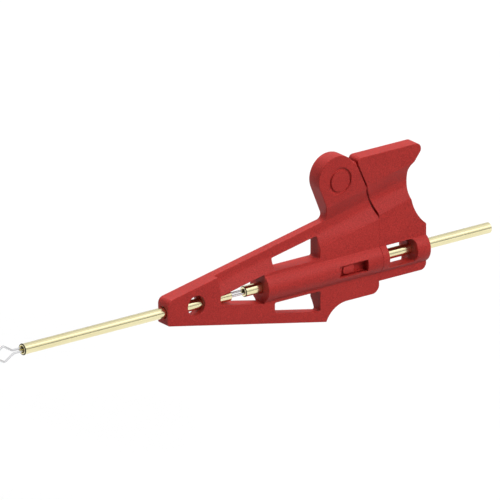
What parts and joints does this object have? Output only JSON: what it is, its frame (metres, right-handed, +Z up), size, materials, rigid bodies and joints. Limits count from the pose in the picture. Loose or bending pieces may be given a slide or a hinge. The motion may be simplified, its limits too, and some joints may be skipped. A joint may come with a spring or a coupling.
{
  "type": "test hook probe",
  "caption": "Slim red hook probe with a thumb slider that pushes sprung wire hooks out of a plated guide tube; a plated contact pin takes the test lead.",
  "frame": {"origin": "on the tube axis just behind the slider's rear face, where the free contact pin starts", "axes": "+X along the tubes from the hooks to the contact pin, +Y across the flat body, +Z up towards the finger ear"},
  "size_m": [0.0439, 0.0024, 0.0124],
  "materials": {
    "red_plastic": "fine matte grain",
    "gold_plating": "polished gold plating",
    "spring_steel": "bright drawn wire",
    "solder": "dull tin"
  },
  "bodies": {
    "housing": {"body": "red_plastic", "guide_tube": "gold_plating", "return_spring": "spring_steel"},
    "plunger": {"thumb_slider": "red_plastic", "contact_tube": "gold_plating", "upper_wire": "spring_steel", "lower_wire": "spring_steel", "solder_plug": "solder"}
  },
  "joints": [
    {"name": "slider_travel", "type": "slide", "parent": "housing", "child": "plunger", "axis": [1, 0, 0], "range_m": [0, 0.00115], "stiffness_N_per_m": 300, "springref_m": 0.0035, "deforming": ["return_spring", "upper_wire", "lower_wire"]}
  ]
}
